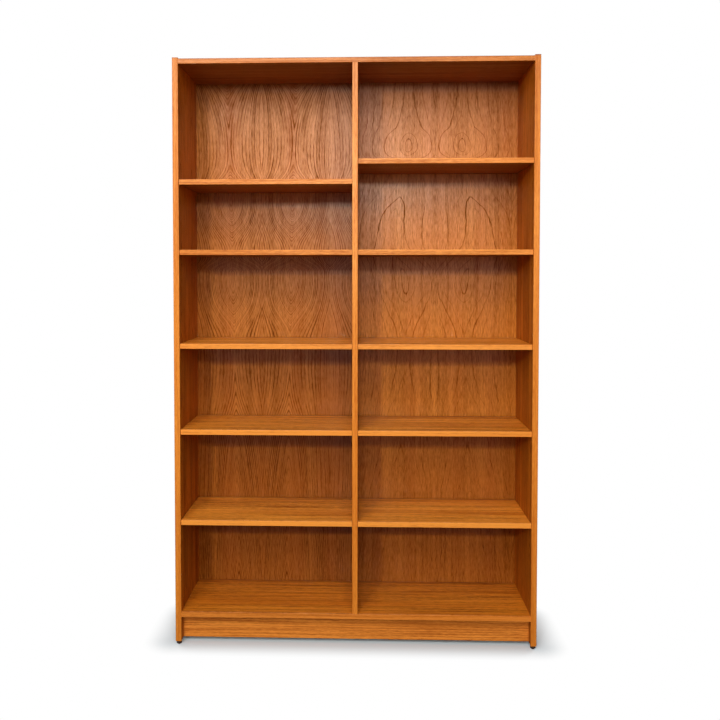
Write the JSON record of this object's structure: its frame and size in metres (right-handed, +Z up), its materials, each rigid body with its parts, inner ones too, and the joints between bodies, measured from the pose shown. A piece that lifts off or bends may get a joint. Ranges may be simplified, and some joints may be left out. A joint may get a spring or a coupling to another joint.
{
  "type": "double bookcase",
  "caption": "Free-standing double bookcase in teak veneer with a central divider, loose shelves on hidden wires, a recessed plinth and low glides.",
  "frame": {"origin": "on the floor, under the middle of the case's width and depth", "axes": "+X to the right seen from the front, +Y from the open front to the back, +Z up"},
  "size_m": [1.2, 0.29, 1.95],
  "materials": {
    "teak_veneer": "satin oiled teak veneer",
    "teak_lipping": "satin oiled solid teak",
    "back_veneer": "satin oiled teak-faced plywood",
    "steel": "bright drawn steel",
    "glide_plastic": "dark brown moulded plastic",
    "softwood": "sawn softwood"
  },
  "bodies": {
    "carcass": {"left_side": "teak_veneer", "right_side": "teak_veneer", "centre_divider": "teak_veneer", "top_panel": "teak_veneer", "bottom_panel": "teak_veneer", "plinth": "teak_veneer", "left_side_lipping": "teak_lipping", "right_side_lipping": "teak_lipping", "divider_lipping": "teak_lipping", "top_lipping": "teak_lipping", "bottom_lipping": "teak_lipping", "left_back_panel": "back_veneer", "right_back_panel": "back_veneer", "left_side_wires": "steel", "divider_left_wires": "steel", "divider_right_wires": "steel", "right_side_wires": "steel", "back_panel_screws": "steel", "glide_nails": "steel", "glides": "glide_plastic", "plinth_glue_blocks": "softwood"},
    "left_shelf_1": {"left_shelf_1": "teak_veneer", "left_shelf_1_lipping": "teak_lipping"},
    "left_shelf_2": {"left_shelf_2": "teak_veneer", "left_shelf_2_lipping": "teak_lipping"},
    "left_shelf_3": {"left_shelf_3": "teak_veneer", "left_shelf_3_lipping": "teak_lipping"},
    "left_shelf_4": {"left_shelf_4": "teak_veneer", "left_shelf_4_lipping": "teak_lipping"},
    "left_shelf_5": {"left_shelf_5": "teak_veneer", "left_shelf_5_lipping": "teak_lipping"},
    "right_shelf_1": {"right_shelf_1": "teak_veneer", "right_shelf_1_lipping": "teak_lipping"},
    "right_shelf_2": {"right_shelf_2": "teak_veneer", "right_shelf_2_lipping": "teak_lipping"},
    "right_shelf_3": {"right_shelf_3": "teak_veneer", "right_shelf_3_lipping": "teak_lipping"},
    "right_shelf_4": {"right_shelf_4": "teak_veneer", "right_shelf_4_lipping": "teak_lipping"},
    "right_shelf_5": {"right_shelf_5": "teak_veneer", "right_shelf_5_lipping": "teak_lipping"}
  },
  "joints": [
    {"name": "left_shelf_1_slide", "type": "slide", "parent": "carcass", "child": "left_shelf_1", "axis": [0, -1, 0], "range_m": [0, 0.2]},
    {"name": "left_shelf_2_slide", "type": "slide", "parent": "carcass", "child": "left_shelf_2", "axis": [0, -1, 0], "range_m": [0, 0.2]},
    {"name": "left_shelf_3_slide", "type": "slide", "parent": "carcass", "child": "left_shelf_3", "axis": [0, -1, 0], "range_m": [0, 0.2]},
    {"name": "left_shelf_4_slide", "type": "slide", "parent": "carcass", "child": "left_shelf_4", "axis": [0, -1, 0], "range_m": [0, 0.2]},
    {"name": "left_shelf_5_slide", "type": "slide", "parent": "carcass", "child": "left_shelf_5", "axis": [0, -1, 0], "range_m": [0, 0.2]},
    {"name": "right_shelf_1_slide", "type": "slide", "parent": "carcass", "child": "right_shelf_1", "axis": [0, -1, 0], "range_m": [0, 0.2]},
    {"name": "right_shelf_2_slide", "type": "slide", "parent": "carcass", "child": "right_shelf_2", "axis": [0, -1, 0], "range_m": [0, 0.2]},
    {"name": "right_shelf_3_slide", "type": "slide", "parent": "carcass", "child": "right_shelf_3", "axis": [0, -1, 0], "range_m": [0, 0.2]},
    {"name": "right_shelf_4_slide", "type": "slide", "parent": "carcass", "child": "right_shelf_4", "axis": [0, -1, 0], "range_m": [0, 0.2]},
    {"name": "right_shelf_5_slide", "type": "slide", "parent": "carcass", "child": "right_shelf_5", "axis": [0, -1, 0], "range_m": [0, 0.2]}
  ]
}
